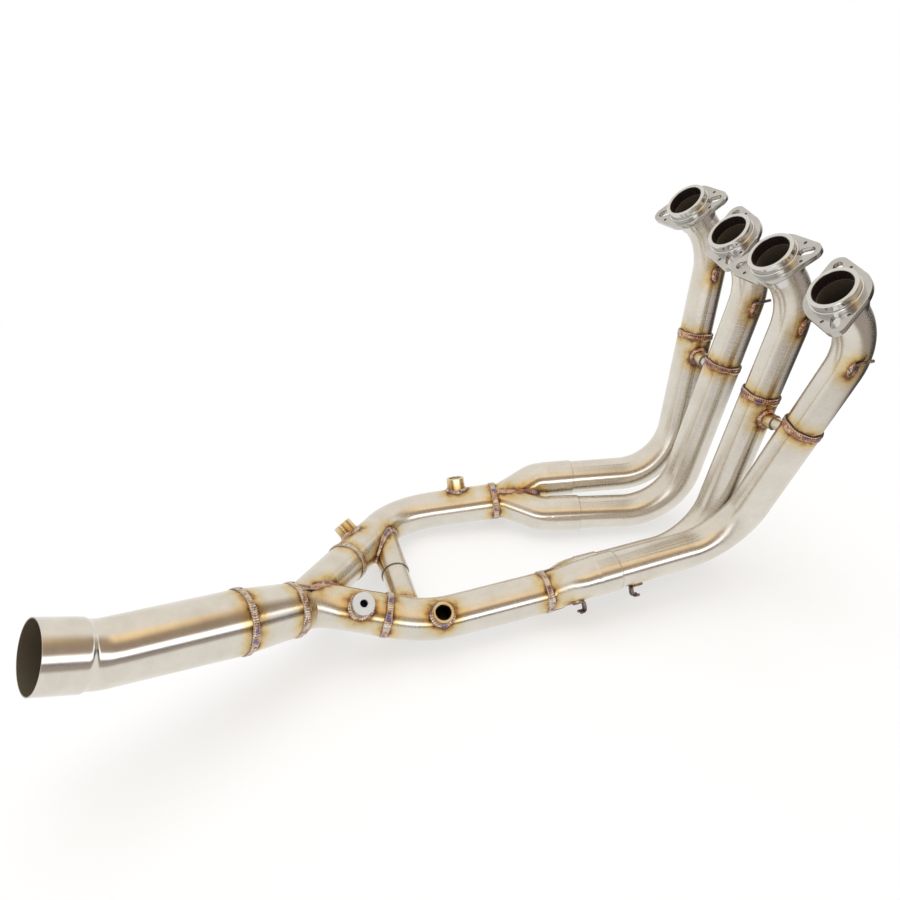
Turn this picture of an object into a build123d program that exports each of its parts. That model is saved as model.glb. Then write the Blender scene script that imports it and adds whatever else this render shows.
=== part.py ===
"""Four-into-two-into-one motorcycle exhaust header, lying as it rests on the floor. Millimetres, +Z up."""
import os

from build123d import *

# Frame: X runs from the tail to the ports, Y along the port row, Z up from the floor.
# Points below are measured from the middle of the port row; this shift puts the box's middle at the origin.
to_centre_x = 331.21
to_centre_y = 10.12

# Tubes
wall = 1.2
upper_od = 38.1
lower_od = 41.3
secondary_od = 45.0
tail_od = 63.6
tail_neck_od = 60.0
slip_clearance = 0.15

# Port flanges: gasket face centre of each port and how far the port axis leans to the tail
port_lean = 41.5
port_1 = (2.0, 130.5, 382.0)
port_2 = (1.0, 38.5, 377.0)
port_3 = (-4.5, -41.0, 382.5)
port_4 = (2.0, -126.0, 378.5)
ear_turn = 41.0
bore_r = 18.65
spigot_r = 22.8
spigot_base_r = 24.0
spigot_height = 10.0
plate_thickness = 6.0
plate_r = 30.0
ear_r = 10.0
ear_reach = 35.0
slot_length = 16.0
slot_width = 8.6
slot_reach = 31.5
pin_hole_r = 1.6
pin_hole_reach = 28.0
pin_hole_side = 11.5
collar_length = 16.0
collar_r = 21.2
tube_seat = 12.0

# Primaries: neck from gasket face to the upper corner, lower corner, end inside the collector socket
neck_1 = 75.0
neck_2 = 71.0
neck_3 = 75.0
neck_4 = 78.0
upper_bend = 71.5
lower_bend = 72.0
corner_1 = (3.0, 78.5, 44.0)
corner_2 = (-16.5, 29.5, 19.8)
corner_3 = (-14.0, -40.5, 19.9)
corner_4 = (-5.5, -77.0, 53.5)
end_1 = (-158.0, 103.6, 44.0)
end_2 = (-165.0, 59.3, 23.0)
end_3 = (-178.0, -55.9, 22.7)
end_4 = (-178.0, -90.2, 51.4)
weld_drop = 109.0
insertion = 10.0

# Collectors
socket_r = 22.2
leg_r = 21.5
left_socket = 34.0
right_socket = 25.0
left_outlet = (-228.0, 97.4, 28.4)
right_outlet = (-231.0, -80.7, 33.4)
outlet_run = 12.0
left_leg_bend = 30.0
right_leg_bend = 28.0

# Secondaries
left_corner = (-350.0, 115.0, 20.1)
left_bend = 76.0
left_ring = 135.8
right_corner = (-364.0, -85.5, 30.5)
right_bend = 150.0
right_ring = 45.1

# Y collector, cone and tail
y_outlet = (-499.7, -71.5, 72.6)
y_meet = 7.1
y_entry = 31.1
y_bend = 60.0
y_outlet_r = 27.2
y_collar = 6.0
y_trim_slope = 2.1
cone_length = 58.2
tail_kink = (-666.0, -142.0, 134.0)
tail_end = (-711.5, -156.5, 160.0)
kink_bend = 60.0
kink_run = 10.0
swage_start = 10.0
swage_length = 8.0

# Crossover between the secondaries
crossover_left = 48.1
crossover_right = 18.1
crossover_sleeve_od = 32.6
crossover_tube_od = 29.5
crossover_sleeve_length = 83.4
crossover_lap = 20.0

# Balance tubes between primaries
balance_sleeve_od = 17.0
balance_tube_od = 13.4
balance_low = 22.0
balance_high = 10.2
balance_split = 0.5
balance_lap = 6.0

# Sensor bungs
bung_r = 11.0
bung_hole_r = 8.2
bung_height = 37.0
low_bung_height = 31.0
bung_1_along = 45.0
bung_1_up = (0.03, 0.41, 0.91)
bung_2_along = 97.0
bung_2_up = (-0.505, 0.572, 0.647)
bung_3_along = 120.0
bung_3_up = (0.01, -0.54, 0.84)
bung_4_along = 75.2
bung_4_up = (0.091, -0.607, 0.79)
plug_head_r = 11.4
plug_head = 4.0
plug_shank = 9.0
plug_socket_r = 3.9
thread_clearance = 0.1

# Welds
bead_r = 2.4
bead_sink = 0.7
fillet_weld = 2.2
seam_weld = 1.6
seam_width = 7.0
weld_gap = 0.2

# Spring hooks
hook_wire_r = 1.6
hook_foot = 14.0
hook_reach = 11.0
hook_tip = 8.0
port_hook_reach = 15.0
port_hook_side = (0.8, -0.45, 0.35)
hook_bend = 3.0
pad_length = 15.0
pad_width = 9.0
pad_height = 3.0
port_hook_drops = (33.0, 34.0, 22.0, 23.0)
port_hook_turns = (11.0, 8.0, 2.0, 27.0)
slip_hook_back = 17.0
slip_hook_front = 17.0
slip_hook_1_side = (0.07, 0.5, -0.86)
slip_hook_4_side = (0.07, -0.5, -0.86)


def at(point):
    """The point in the object's frame."""
    return Vector(point[0] + to_centre_x, point[1] + to_centre_y, point[2])


def along(start, end, distance):
    """The point at a distance from start on the way to end."""
    return start + (end - start).normalized() * distance


def square_to(axis, direction):
    """The part of a direction square to an axis, as a unit vector."""
    axis = axis.normalized()
    return (direction - axis * direction.dot(axis)).normalized()


def rod(points, radii, radius):
    """A solid round bar along straight runs and tangent arcs."""
    with BuildPart() as bar:
        with BuildLine() as path:
            if radii:
                FilletPolyline(*points, radius=radii)
            else:
                Line(points[0], points[1])
        start = path.wires()[0]
        with BuildSketch(Plane(origin=start @ 0, z_dir=start % 0)):
            Circle(radius)
        sweep(path=start)
    return bar.part


def tube(points, radii, radius, thickness):
    """A tube along straight runs and tangent arcs."""
    with BuildPart() as pipe:
        add(rod(points, radii, radius))
        add(rod(points, radii, radius - thickness), mode=Mode.SUBTRACT)
    return pipe.part


def ring_weld(point, axis, before_r, after_r, before_slope=0.0, after_slope=0.0):
    """A weld bead ring on the step between two tubes, turned from its section above both tubes."""
    reach = bead_r * 2
    before_end = before_r - reach * before_slope
    after_end = after_r + reach * after_slope
    centre = max(before_r, after_r) - bead_sink
    side = square_to(axis, Vector(0.3, 0.5, 0.8))
    with BuildPart() as bead:
        with BuildSketch(Plane(origin=point, z_dir=axis.cross(side), x_dir=axis)):
            with Locations((0, centre)):
                Circle(bead_r)
            with BuildLine():
                Polyline((-reach, 0), (0, 0), (0, before_r), (-reach, before_end), close=True)
            make_face(mode=Mode.SUBTRACT)
            with BuildLine():
                Polyline((0, 0), (reach, 0), (reach, after_end), (0, after_r), close=True)
            make_face(mode=Mode.SUBTRACT)
        revolve(axis=Axis(point, axis))
    return bead.part


def corner_weld(large_a, large_b, tools):
    """A fillet weld: what two enlarged bars share, without the bars themselves."""
    with BuildPart() as bead:
        add(large_a)
        add(large_b, mode=Mode.INTERSECT)
        for tool in tools:
            add(tool, mode=Mode.SUBTRACT)
    return bead.part


def cone(start, axis, first_r, last_r, length):
    """A solid cone frustum from start along an axis."""
    with BuildPart(Plane(origin=start, z_dir=axis)) as body:
        Cone(first_r, last_r, length, align=(Align.CENTER, Align.CENTER, Align.MIN))
    return body.part


def cut(body, tools):
    """A body with tools taken away."""
    with BuildPart() as piece:
        add(body)
        for tool in tools:
            add(tool, mode=Mode.SUBTRACT)
    return piece.part


def hook(base, axis, outward, bends, radius, tools):
    """A bent wire spring hook on its weld pad, cut to sit on the tube."""
    seat = base + outward * (radius + hook_wire_r)
    with BuildPart() as piece:
        add(rod([seat + axis * hook_foot, seat] + [seat + bend for bend in bends], hook_bend, hook_wire_r))
        with BuildSketch(Plane(origin=base, z_dir=outward, x_dir=axis)):
            with Locations((hook_foot / 2, 0)):
                SlotOverall(pad_length, pad_width)
        extrude(amount=radius + pad_height)
        for tool in tools:
            add(tool, mode=Mode.SUBTRACT)
    return piece.part


def save(part, node):
    """Labels one node and writes its STEP file."""
    part.label = node
    export_step(part, "parts/" + node + ".step")


os.makedirs("parts", exist_ok=True)

ports = [at(port_1), at(port_2), at(port_3), at(port_4)]
necks = [neck_1, neck_2, neck_3, neck_4]
corners = [at(corner_1), at(corner_2), at(corner_3), at(corner_4)]
ends = [at(end_1), at(end_2), at(end_3), at(end_4)]
lean = Vector(0, 0, 1).rotate(Axis.Y, -port_lean)
uppers = [port - lean * neck for port, neck in zip(ports, necks)]
splits = [along(upper, corner, weld_drop) for upper, corner in zip(uppers, corners)]
downs = [(corner - upper).normalized() for upper, corner in zip(uppers, corners)]
runs = [(end - corner).normalized() for corner, end in zip(corners, ends)]
upper_r = upper_od / 2
lower_r = lower_od / 2
secondary_r = secondary_od / 2
tail_r = tail_od / 2

# Balance tube lines: low on the first tube of each pair, high on the second
balance_ends = []
for first, second in ((0, 1), (2, 3)):
    low = splits[first] + downs[first] * balance_low
    high = splits[second] + downs[second] * balance_high
    balance_ends.append((low, high))

# Port flanges
for index, port in enumerate(ports):
    turn = ear_turn if index % 2 == 0 else -ear_turn
    slope = Vector(0, -1, 0).rotate(Axis((0, 0, 0), lean), turn)
    face = Plane(origin=port, z_dir=lean, x_dir=slope)
    with BuildPart() as flange:
        with BuildSketch(face.offset(-spigot_height - plate_thickness)):
            Circle(plate_r)
            with Locations((ear_reach, 0), (-ear_reach, 0)):
                Circle(ear_r)
            make_hull()
            with Locations((slot_reach, 0), (-slot_reach, 0)):
                SlotOverall(slot_length, slot_width, mode=Mode.SUBTRACT)
            with Locations((pin_hole_reach, pin_hole_side), (pin_hole_reach, -pin_hole_side),
                           (-pin_hole_reach, pin_hole_side), (-pin_hole_reach, -pin_hole_side)):
                Circle(pin_hole_r, mode=Mode.SUBTRACT)
        extrude(amount=plate_thickness)
        with BuildSketch(face.offset(-spigot_height - plate_thickness - collar_length)):
            Circle(collar_r)
        extrude(amount=collar_length)
        with BuildSketch(face.offset(-spigot_height)):
            Circle(spigot_base_r)
        extrude(amount=spigot_height / 4)
        with BuildSketch(face.offset(-spigot_height)):
            Circle(spigot_r)
        extrude(amount=spigot_height)
        with BuildSketch(face):
            Circle(bore_r)
        extrude(amount=-spigot_height - plate_thickness, mode=Mode.SUBTRACT)
        with BuildSketch(face.offset(-tube_seat)):
            Circle(upper_r + slip_clearance)
        extrude(amount=-collar_length - plate_thickness, mode=Mode.SUBTRACT)
    save(flange.part, "port_flange_%d" % (index + 1))

# Primaries with their weld rings
upper_bars = []
lower_bars = []
for index in range(4):
    port, upper, corner, end = ports[index], uppers[index], corners[index], ends[index]
    split, down = splits[index], downs[index]
    start = port - lean * tube_seat
    foot = split + down * insertion
    upper_bars.append(rod([start, upper, foot], upper_bend, upper_r))
    upper_primary = tube([start, upper, foot], upper_bend, upper_r, wall)
    save(upper_primary, "upper_primary_%d" % (index + 1))
    lower_bar = rod([split, corner, end], lower_bend, lower_r)
    lower_bars.append(lower_bar)
    low, high = balance_ends[index // 2]
    opening = rod([low, high], None, balance_tube_od / 2 - wall)
    lower_primary = cut(tube([split, corner, end], lower_bend, lower_r, wall), [opening])
    save(lower_primary, "lower_primary_%d" % (index + 1))
    weld = ring_weld(split, down, upper_r, lower_r)
    save(weld, "primary_weld_%d" % (index + 1))

# Balance tubes
for index, name in ((0, "a"), (1, "b")):
    low, high = balance_ends[index]
    first, second = lower_bars[2 * index], lower_bars[2 * index + 1]
    sleeve_r = balance_sleeve_od / 2
    tube_r = balance_tube_od / 2
    edge = low + (high - low) * balance_split
    sleeve_in = tube_r + slip_clearance
    sleeve_bar = rod([low, edge], None, sleeve_r)
    sleeve = cut(sleeve_bar, [rod([low, edge], None, sleeve_in), first])
    save(sleeve, "balance_sleeve_" + name)
    lap = along(edge, low, balance_lap)
    inner = cut(rod([lap, high], None, tube_r), [rod([lap, high], None, tube_r - wall), second])
    save(inner, "balance_tube_" + name)
    large_sleeve = rod([low, edge], None, sleeve_r + fillet_weld)
    corner = corners[2 * index]
    split = splits[2 * index]
    large_first = rod([split, along(split, corner, weld_drop)], None, lower_r + fillet_weld)
    bead = corner_weld(large_sleeve, large_first, [sleeve_bar, first])
    save(bead, "balance_weld_" + name)

# Merge collectors
secondary_starts = [at(left_outlet), at(right_outlet)]
secondary_corners = [at(left_corner), at(right_corner)]
collector_shells = []
for index, name in ((0, "left"), (1, "right")):
    outlet = secondary_starts[index]
    exit_axis = (secondary_corners[index] - outlet).normalized()
    depth = (left_socket, right_socket)[index]
    leg_bend = (left_leg_bend, right_leg_bend)[index]
    shells = []
    hollows = []
    larges = []
    for leg in (2 * index, 2 * index + 1):
        root = ends[leg]
        mouth = root - runs[leg] * depth
        turn_in = root + runs[leg] * outlet_run
        turn_out = outlet - exit_axis * outlet_run
        line = [root, turn_in, turn_out, outlet]
        shells.append(rod(line, leg_bend, leg_r))
        hollows.append(rod(line, leg_bend, leg_r - wall))
        larges.append(rod(line, leg_bend, leg_r + seam_weld))
        shells.append(rod([mouth, root], None, socket_r))
        hollows.append(rod([mouth, root], None, lower_r + slip_clearance))
    with BuildPart() as collector:
        for shell in shells:
            add(shell)
        for hollow in hollows:
            add(hollow, mode=Mode.SUBTRACT)
    save(collector.part, name + "_collector")
    across = square_to(exit_axis, ends[2 * index] - ends[2 * index + 1])
    seam_room = leg_r * 6
    seam_end = outlet - exit_axis * (bead_r + weld_gap)
    with BuildPart(Plane(origin=seam_end, z_dir=across, x_dir=exit_axis * -1)) as slab:
        Box(seam_room, seam_room, seam_width, align=(Align.MIN, Align.CENTER, Align.CENTER))
    with BuildPart() as crease:
        add(corner_weld(larges[0], larges[1], shells))
        add(slab.part, mode=Mode.INTERSECT)
    save(crease.part, name + "_collector_seam")
    collector_shells.append(shells)

# Lines and solid bars of the secondaries and the Y collector's legs
y_point = at(y_outlet)
kink = at(tail_kink)
tail_axis = (kink - y_point).normalized()
y_turn = y_point - tail_axis * y_entry
left_meet = y_point - tail_axis * y_meet
left_axis = (left_meet - secondary_corners[0]).normalized()
right_axis = (y_turn - secondary_corners[1]).normalized()
left_line = [secondary_starts[0], secondary_corners[0], secondary_corners[0] + left_axis * left_ring]
right_line = [secondary_starts[1], secondary_corners[1], secondary_corners[1] + right_axis * right_ring]
left_bar = rod(left_line, left_bend, secondary_r)
right_bar = rod(right_line, right_bend, secondary_r)
large_left = rod(left_line, left_bend, secondary_r + fillet_weld)
large_right = rod(right_line, right_bend, secondary_r + fillet_weld)
left_leg = [left_line[2], left_meet + left_axis * y_outlet_r]
right_leg = [right_line[2], y_turn, y_point]


def y_trim(radius):
    """A cone that opens upstream from the Y collector's outlet, to trim the left leg."""
    reach = 150.0
    start = y_point - tail_axis * (bead_r + weld_gap)
    return cone(start, tail_axis * -1, radius, radius + reach * y_trim_slope, reach)


def y_body(shrink):
    """The Y collector's outside, or its inside when shrunk by the wall."""
    with BuildPart() as shape:
        add(rod(left_leg, None, secondary_r - shrink))
        add(y_trim(y_outlet_r - shrink), mode=Mode.INTERSECT)
        add(rod(right_leg, y_bend, secondary_r - shrink))
        add(rod([y_point - tail_axis * y_collar, y_point], None, y_outlet_r - shrink))
    return shape.part


y_outer = y_body(0)

# Sensor bungs: seat on the tube axis, direction out of the tube, face height
bung_3_axis = (secondary_corners[1] - secondary_starts[1]).normalized()
bung_seats = [along(secondary_starts[0], secondary_corners[0], bung_1_along),
              secondary_corners[0] + left_axis * bung_2_along,
              secondary_starts[1] + bung_3_axis * bung_3_along,
              secondary_corners[1] + right_axis * bung_4_along]
bung_axes = [secondary_corners[0] - secondary_starts[0], left_axis, bung_3_axis, right_axis]
bung_ups = [square_to(axis, Vector(*up)) for axis, up in
            zip(bung_axes, (bung_1_up, bung_2_up, bung_3_up, bung_4_up))]
bung_heights = [bung_height, bung_height, low_bung_height, bung_height]
bung_tubes = [left_bar, left_bar, right_bar, y_outer]
large_y = rod([right_line[2], y_turn], None, secondary_r + fillet_weld)
large_tubes = [large_left, large_left, large_right, large_y]
bung_holes = []
for index in range(4):
    seat, up, height = bung_seats[index], bung_ups[index], bung_heights[index]
    top = seat + up * height
    body = rod([seat, top], None, bung_r)
    hole = rod([seat, top], None, bung_hole_r)
    bung_holes.append(hole)
    save(cut(body, [hole, bung_tubes[index]]), "sensor_bung_%d" % (index + 1))
    large_body = rod([seat, top], None, bung_r + fillet_weld)
    bead = corner_weld(large_body, large_tubes[index], [body, bung_tubes[index]])
    save(bead, "bung_weld_%d" % (index + 1))

# Plug in the last bung
plug_face = bung_seats[3] + bung_ups[3] * bung_height
with BuildPart(Plane(origin=plug_face, z_dir=bung_ups[3])) as plug:
    Cylinder(plug_head_r, plug_head, align=(Align.CENTER, Align.CENTER, Align.MIN))
    Cylinder(bung_hole_r - thread_clearance, plug_shank, align=(Align.CENTER, Align.CENTER, Align.MAX))
    with Locations((0, 0, plug_head)):
        Cylinder(plug_socket_r, plug_head + plug_shank / 2, align=(Align.CENTER, Align.CENTER, Align.MAX),
                 mode=Mode.SUBTRACT)
save(plug.part, "bung_plug")

# Crossover between the secondaries
sleeve_r = crossover_sleeve_od / 2
inner_r = crossover_tube_od / 2
cross_left = secondary_corners[0] + left_axis * crossover_left
cross_right = secondary_corners[1] + right_axis * crossover_right
cross_edge = along(cross_left, cross_right, crossover_sleeve_length)
cross_lap = along(cross_edge, cross_left, crossover_lap)
cross_hole = rod([cross_left, cross_right], None, inner_r - wall)
sleeve_bar = rod([cross_left, cross_edge], None, sleeve_r)
tube_bar = rod([cross_lap, cross_right], None, inner_r)
sleeve_hole = rod([cross_left, cross_edge], None, inner_r + slip_clearance)
save(cut(sleeve_bar, [sleeve_hole, left_bar]), "crossover_sleeve")
save(cut(tube_bar, [cross_hole, right_bar]), "crossover_tube")
large_sleeve = rod([cross_left, cross_edge], None, sleeve_r + fillet_weld)
large_inner = rod([cross_lap, cross_right], None, inner_r + fillet_weld)
save(corner_weld(large_sleeve, large_left, [sleeve_bar, left_bar]), "crossover_weld_a")
save(corner_weld(large_inner, large_right, [tube_bar, right_bar]), "crossover_weld_b")

# Secondaries and the weld rings at their ends
left_pipe = tube(left_line, left_bend, secondary_r, wall)
right_pipe = tube(right_line, right_bend, secondary_r, wall)
save(cut(left_pipe, [bung_holes[0], bung_holes[1], cross_hole]), "left_secondary")
save(cut(right_pipe, [bung_holes[2], cross_hole]), "right_secondary")
for index, name in ((0, "left"), (1, "right")):
    outlet = secondary_starts[index]
    axis = (secondary_corners[index] - outlet).normalized()
    save(ring_weld(outlet, axis, leg_r, secondary_r), name + "_collector_weld")
    ring_point = (left_line, right_line)[index][2]
    bead = ring_weld(ring_point, (left_axis, right_axis)[index], secondary_r, secondary_r)
    save(bead, name + "_secondary_weld")

# Y collector with its seam
save(cut(y_outer, [y_body(wall), bung_holes[3]]), "y_collector")
large_leg = rod(left_leg, None, secondary_r + seam_weld)
with BuildPart() as large_right_leg:
    add(rod(right_leg, y_bend, secondary_r + seam_weld))
    add(y_trim(y_outlet_r), mode=Mode.INTERSECT)
save(corner_weld(large_leg, large_right_leg.part, [y_outer]), "y_seam")

# Outlet cone and tail pipe: the pipe narrows to its kink, then swages out to the socket
cone_end = y_point + tail_axis * cone_length
tail_point = at(tail_end)
socket_axis = (tail_point - kink).normalized()
neck = kink - tail_axis * kink_run
swage = kink + socket_axis * swage_start
socket = swage + socket_axis * swage_length
neck_r = tail_neck_od / 2
taper_length = (neck - cone_end).length
flare = (tail_r - y_outlet_r) / cone_length
taper = (neck_r - tail_r) / taper_length
cone_outer = cone(y_point, tail_axis, y_outlet_r, tail_r, cone_length)
cone_inner = cone(y_point, tail_axis, y_outlet_r - wall, tail_r - wall, cone_length)
save(cut(cone_outer, [cone_inner]), "outlet_cone")
save(ring_weld(y_point, tail_axis, y_outlet_r, y_outlet_r, 0.0, flare), "y_outlet_weld")


def tail_body(shrink):
    """The tail pipe's outside, or its inside when shrunk by the wall."""
    wide = tail_r - shrink
    narrow = neck_r - shrink
    with BuildPart() as shape:
        add(cone(cone_end, tail_axis, wide, narrow, taper_length))
        add(rod([neck, kink, swage], kink_bend, narrow))
        add(cone(swage, socket_axis, narrow, wide, swage_length))
        add(rod([socket, tail_point], None, wide))
    return shape.part


save(cut(tail_body(0), [tail_body(wall)]), "tail_pipe")
save(ring_weld(cone_end, tail_axis, tail_r, tail_r, flare, taper), "cone_weld")

# Port spring hooks
for index in range(4):
    base = uppers[index] + downs[index] * (port_hook_drops[index] - hook_foot / 2)
    outward = square_to(downs[index], Vector(0, -1, 0))
    outward = outward.rotate(Axis((0, 0, 0), downs[index]), port_hook_turns[index])
    reach = Vector(*port_hook_side).normalized() * port_hook_reach
    piece = hook(base, downs[index], outward, [reach], upper_r, [upper_bars[index]])
    save(piece, "port_hook_%d" % (index + 1))

# Spring hooks at the outer slip joints: one on the collector and one on the primary
for index, side in ((0, slip_hook_1_side), (3, slip_hook_4_side)):
    run = runs[index]
    depth = (left_socket, right_socket)[index // 2]
    outward = square_to(run, Vector(*side))
    mouth = ends[index] - run * depth
    reach = outward * hook_reach
    back_bends = [reach, reach - run * hook_tip]
    front_bends = [reach, reach + run * hook_tip]
    back = hook(mouth - run * slip_hook_back, run * -1, outward, back_bends, lower_r, [lower_bars[index]])
    front = hook(ends[index] + run * slip_hook_front, run, outward, front_bends, leg_r,
                 collector_shells[index // 2])
    with BuildPart() as pair:
        add(back)
        add(front)
    save(pair.part, "slip_hooks_%d" % (index + 1))
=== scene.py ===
"""A four-into-two-into-one motorcycle exhaust header in satin stainless steel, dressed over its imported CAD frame."""

import bmesh
import bpy
import numpy as np
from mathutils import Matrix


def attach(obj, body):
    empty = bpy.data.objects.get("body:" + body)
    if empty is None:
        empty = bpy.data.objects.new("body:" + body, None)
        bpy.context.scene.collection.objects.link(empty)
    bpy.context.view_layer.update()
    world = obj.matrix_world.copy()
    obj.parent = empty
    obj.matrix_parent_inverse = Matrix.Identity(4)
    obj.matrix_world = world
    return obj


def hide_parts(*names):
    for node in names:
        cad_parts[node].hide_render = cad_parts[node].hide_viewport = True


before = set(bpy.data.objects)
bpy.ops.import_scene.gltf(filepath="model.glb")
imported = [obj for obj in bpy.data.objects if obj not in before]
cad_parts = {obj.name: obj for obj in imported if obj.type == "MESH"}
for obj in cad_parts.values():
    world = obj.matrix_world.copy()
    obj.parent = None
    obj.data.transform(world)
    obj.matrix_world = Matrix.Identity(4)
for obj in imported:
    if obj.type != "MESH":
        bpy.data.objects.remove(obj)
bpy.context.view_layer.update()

# Port flanges: each is a laser-cut stainless plate with a turned spigot through it.
# The spigot's bright annular face seals on the cylinder head, and slots in the ears take the studs.
# Points are in millimetres from the middle of the port row, moved to the middle of the object's box.
metre, merge_gap, crease = 0.001, 1e-7, np.radians(35.0)
row_to_centre = np.array((331.21, 10.12, 0.0))
ports = np.array(((2.0, 130.5, 382.0), (1.0, 38.5, 377.0), (-4.5, -41.0, 382.5),
                  (2.0, -126.0, 378.5))) + row_to_centre
port_lean = np.radians(41.5)
port_axis = np.array((-np.sin(port_lean), 0.0, np.cos(port_lean)))
ear_turns, ear_zero = np.radians((41.0, -41.0, 41.0, -41.0)), (0.0, -1.0, 0.0)
bore_r, spigot_r, spigot_base_r, spigot_height = 18.65, 22.8, 24.0, 10.0
face_edge, groove, groove_top, groove_deep, groove_foot, base_top = 0.6, 0.7, 6.2, 6.6, 7.4, 7.5
plate_thickness, plate_r, plate_edge, plate_bore = 6.0, 30.0, 0.5, 20.2
ear_r, ear_reach = 10.0, 35.0
slot_length, slot_width, slot_reach = 16.0, 8.6, 31.5
pin_hole_r, pin_hole_reach, pin_hole_side = 1.6, 28.0, 11.5
collar_r, collar_length, tube_seat, seat_r, seat_gap, shaded_bore_rows = 21.2, 16.0, 12.0, 19.2, 0.1, 4


def unit(vector):
    """The vector, or each row of vectors, divided by its length."""
    return vector / np.linalg.norm(vector, axis=-1, keepdims=True)


def off_axis(vector, axis):
    """The part of a vector, or of each row of vectors, that is square to an axis."""
    return vector - axis * np.sum(vector * axis, axis=-1, keepdims=True)


def square_axes(axis, reference):
    """Two unit directions square to an axis and to each other, the first as near to the reference as it can be."""
    first = unit(off_axis(np.asarray(reference, float), axis))
    return first, np.cross(axis, first)


def full_turn(count):
    """Equal angles round a circle."""
    return np.linspace(0, 2 * np.pi, count, endpoint=False)


def spokes(axis, angle, reference=(0.3, 0.5, 0.81)):
    """Unit directions round an axis: each angle's cosine along the first square axis, its sine along the second."""
    first, second = square_axes(axis, reference)
    return np.cos(angle)[..., None] * first[..., None, :] + np.sin(angle)[..., None] * second[..., None, :]


def turned(profile, origin, axis, columns=96):
    """A turned shape: each (radius, height) of the profile goes round the axis in equal steps."""
    return origin + profile[:, None, :1] * spokes(axis, full_turn(columns)) + profile[:, None, 1:] * axis


def grid_faces(rows, columns, *wraps):
    """Quads of a grid of points: each joins a point, its neighbour in the row, and the two in the row after."""
    grid = np.pad(np.arange(rows * columns).reshape(rows, columns), [(0, int(wrap)) for wrap in wraps], "wrap")
    return np.stack((grid[:-1, :-1], grid[:-1, 1:], grid[1:, 1:], grid[1:, :-1]), -1).reshape(-1, 4)


def clean(mesh):
    """Joins doubled points, takes out flat faces and turns all faces outward."""
    edit = bmesh.new()
    edit.from_mesh(mesh)
    bmesh.ops.remove_doubles(edit, verts=edit.verts, dist=merge_gap)
    bmesh.ops.dissolve_degenerate(edit, edges=edit.edges, dist=merge_gap)
    bmesh.ops.recalc_face_normals(edit, faces=edit.faces)
    edit.to_mesh(mesh)
    edit.free()


def add_object(name, data):
    """An object at the origin that shows the data."""
    made = bpy.data.objects.new(name, data)
    bpy.context.scene.collection.objects.link(made)
    return made


def piece(name, sheets, finishes, node):
    """A steel piece in metres from grids of points in millimetres, shown in place of its CAD node.

    A sheet is (points, wraps along rows, wraps along columns, marks) and takes its own finish, or the last given.
    Marks are values for each point: straight is its place if the piece were straightened, and grain the direction
    along a tube. The others are 1: inside on a bore, which takes painted shade, ripple on a weld's crests, whose
    troughs take painted shade, toe at its edges, blued where it ran hottest, lathe on a turned surface.
    """
    faces = [grid_faces(*points.shape[:2], *wraps) for points, *wraps, _ in sheets]
    starts = np.cumsum([0] + [points.shape[0] * points.shape[1] for points, *_ in sheets])
    mesh = bpy.data.meshes.new(name)
    mesh.from_pydata(np.concatenate([points.reshape(-1, 3) for points, *_ in sheets]) * metre, [],
                     np.concatenate([quads + start for quads, start in zip(faces, starts)]).tolist())
    order = np.minimum(np.arange(len(sheets)), len(finishes) - 1)
    mesh.polygons.foreach_set("material_index", np.repeat(order, [len(quads) for quads in faces]).astype(np.int32))
    for key, default in (("straight", None), ("inside", 0.0), ("ripple", 0.5), ("toe", 0.3), ("blued", 0.0),
                         ("lathe", 0.0), ("grain", (1.0, 0.0, 0.0)), ("weld_distance", 1.0)):
        width = (3,) if key in ("straight", "grain") else ()
        values = [np.broadcast_to(marks.get(key, points if default is None else default),
                                  points.shape[:2] + width).reshape(-1) for points, _, _, marks in sheets]
        layer = mesh.attributes.new(key, "FLOAT_VECTOR" if width else "FLOAT", "POINT")
        layer.data.foreach_set("vector" if width else "value", np.concatenate(values).astype(np.float32))
    clean(mesh)
    mesh.shade_smooth()
    mesh.set_sharp_from_angle(angle=crease)
    for finish in finishes:
        mesh.materials.append(finish)
    made = add_object(name, mesh)
    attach(made, "root")
    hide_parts(node)
    return made


def mesh_points(mesh):
    """A mesh's points, one to a row."""
    points = np.empty(len(mesh.vertices) * 3, np.float32)
    mesh.vertices.foreach_get("co", points)
    return points.reshape(-1, 3)


def flange_plate():
    """The plate as a flat filled curve with rounded edges, made a mesh: x along the ears, z up to its top face.

    Its lines are complex numbers: the hull of a disc and two ear discs, a bore, two slots and four pin holes.
    """
    lean_in = np.arccos((plate_r - ear_r) / ear_reach)
    ear, rim, end = (np.exp(1j * np.linspace(*span)) for span in (
        (-lean_in, lean_in, 24), (lean_in, np.pi - lean_in, 24), (-np.pi / 2, np.pi / 2, 16)))
    ear, rim, slot = ear_reach + ear_r * ear, plate_r * rim, (slot_length - slot_width + slot_width * end) / 2
    lines = [np.concatenate((ear, rim, -ear, -rim)), plate_bore * np.exp(1j * full_turn(72))]
    pin_hole = pin_hole_r * np.exp(1j * full_turn(20))
    for side in (1, -1):
        lines.append(side * slot_reach + np.concatenate((slot, -slot)))
        for across in (1, -1):
            lines.append(side * pin_hole_reach + 1j * across * pin_hole_side + pin_hole)
    curve = bpy.data.curves.new("flange_plate", "CURVE")
    curve.dimensions, curve.fill_mode = "2D", "BOTH"
    curve.extrude = (plate_thickness / 2 - plate_edge) * metre
    curve.bevel_depth, curve.bevel_resolution = plate_edge * metre, 2
    curve.offset = -plate_edge * metre
    for line in lines:
        spline = curve.splines.new("POLY")
        spline.points.add(len(line) - 1)
        level = np.zeros(len(line))
        flat = np.stack((line.real * metre, line.imag * metre, level, level + 1), -1)
        spline.points.foreach_set("co", flat.ravel())
        spline.use_cyclic_u = True
    holder = add_object("flange_plate", curve)
    mesh = bpy.data.meshes.new_from_object(holder.evaluated_get(bpy.context.evaluated_depsgraph_get()))
    bpy.data.objects.remove(holder)
    return mesh


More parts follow.
